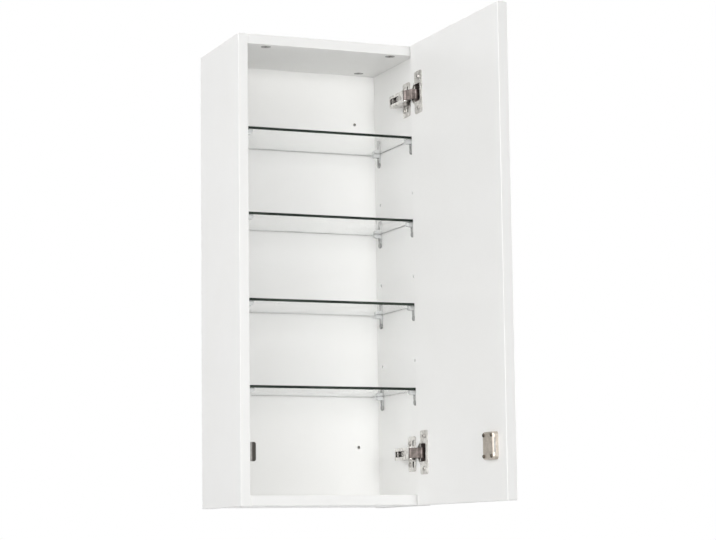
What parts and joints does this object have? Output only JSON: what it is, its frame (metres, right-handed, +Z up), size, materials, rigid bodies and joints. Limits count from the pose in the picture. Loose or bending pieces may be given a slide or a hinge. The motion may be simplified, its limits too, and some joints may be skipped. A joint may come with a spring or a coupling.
{
  "type": "medicine cabinet",
  "caption": "Tall narrow white wall cabinet with glass shelves, a lockable right-hung door on concealed cup hinges and a keeper on the left panel.",
  "frame": {"origin": "middle of the four wall screw holes, on the wall plane at the back of the cabinet", "axes": "+Z up, +Y into the wall, -Y towards the user, +X to the user's right; the door is open at rest"},
  "size_m": [0.3, 0.4812, 0.7],
  "materials": {
    "white_board": "white satin melamine on particle board",
    "white_hardboard": "white painted hardboard",
    "beech": "bare beech",
    "clear_glass": "clear float glass with polished edges",
    "clear_plastic": "clear moulded plastic",
    "dark_brown_steel": "dark brown lacquer",
    "satin_nickel": "satin nickel plate on steel",
    "bright_steel": "bright zinc plated steel",
    "zinc": "die-cast zinc"
  },
  "bodies": {
    "cabinet": {"left_side_panel": "white_board", "right_side_panel": "white_board", "top_panel": "white_board", "bottom_panel": "white_board", "back_panel": "white_hardboard", "upper_wall_rail": "white_board", "lower_wall_rail": "white_board", "cam_locks": "zinc", "cam_bolts": "bright_steel", "wooden_dowels": "beech", "glass_shelf_1": "clear_glass", "shelf_supports_1": "clear_plastic", "glass_shelf_2": "clear_glass", "shelf_supports_2": "clear_plastic", "glass_shelf_3": "clear_glass", "shelf_supports_3": "clear_plastic", "glass_shelf_4": "clear_glass", "shelf_supports_4": "clear_plastic", "hinge_plate_upper": "satin_nickel", "hinge_arm_upper": "satin_nickel", "hinge_plate_lower": "satin_nickel", "hinge_arm_lower": "satin_nickel", "hinge_plate_screws": "bright_steel", "hinge_fixing_screws": "bright_steel", "hinge_adjusting_screws": "bright_steel", "hinge_arm_pins": "bright_steel", "lock_keeper": "dark_brown_steel", "keeper_screws": "bright_steel"},
    "hinge_links": {"hinge_link_upper": "satin_nickel", "hinge_link_lower": "satin_nickel"},
    "door": {"door_panel": "white_board", "hinge_cup_upper": "satin_nickel", "hinge_cup_lower": "satin_nickel", "hinge_cup_pins": "bright_steel", "hinge_cup_screws": "bright_steel", "lock_case": "satin_nickel", "lock_screws": "bright_steel", "lock_cylinder": "satin_nickel"},
    "key_plug": {"key_plug": "satin_nickel"},
    "lock_bolt": {"lock_bolt": "bright_steel"}
  },
  "joints": [
    {"name": "hinge_link_turn", "type": "hinge", "parent": "cabinet", "child": "hinge_links", "pos_m": [0.118, -0.1821, 0], "axis": [0, 0, 1], "range_deg": [-6.46, 41.73]},
    {"name": "door_turn", "type": "hinge", "parent": "hinge_links", "child": "door", "pos_m": [0.12955, -0.1968, 0], "axis": [0, 0, 1], "range_deg": [-132.68, 20.41]},
    {"name": "key_turn", "type": "hinge", "parent": "door", "child": "key_plug", "pos_m": [0.13039, -0.43972, -0.273], "axis": [0.9998, 0.0175, 0], "range_deg": [0, 90]},
    {"name": "bolt_slide", "type": "slide", "parent": "door", "child": "lock_bolt", "axis": [0.0175, -0.9998, 0], "range_m": [0, 0.00637]}
  ],
  "couplings": [
    {"joint": "hinge_link_turn", "follows": "door_turn", "ratio": -0.31413},
    {"joint": "bolt_slide", "follows": "key_turn", "m_per_rad": 0.0040514}
  ]
}
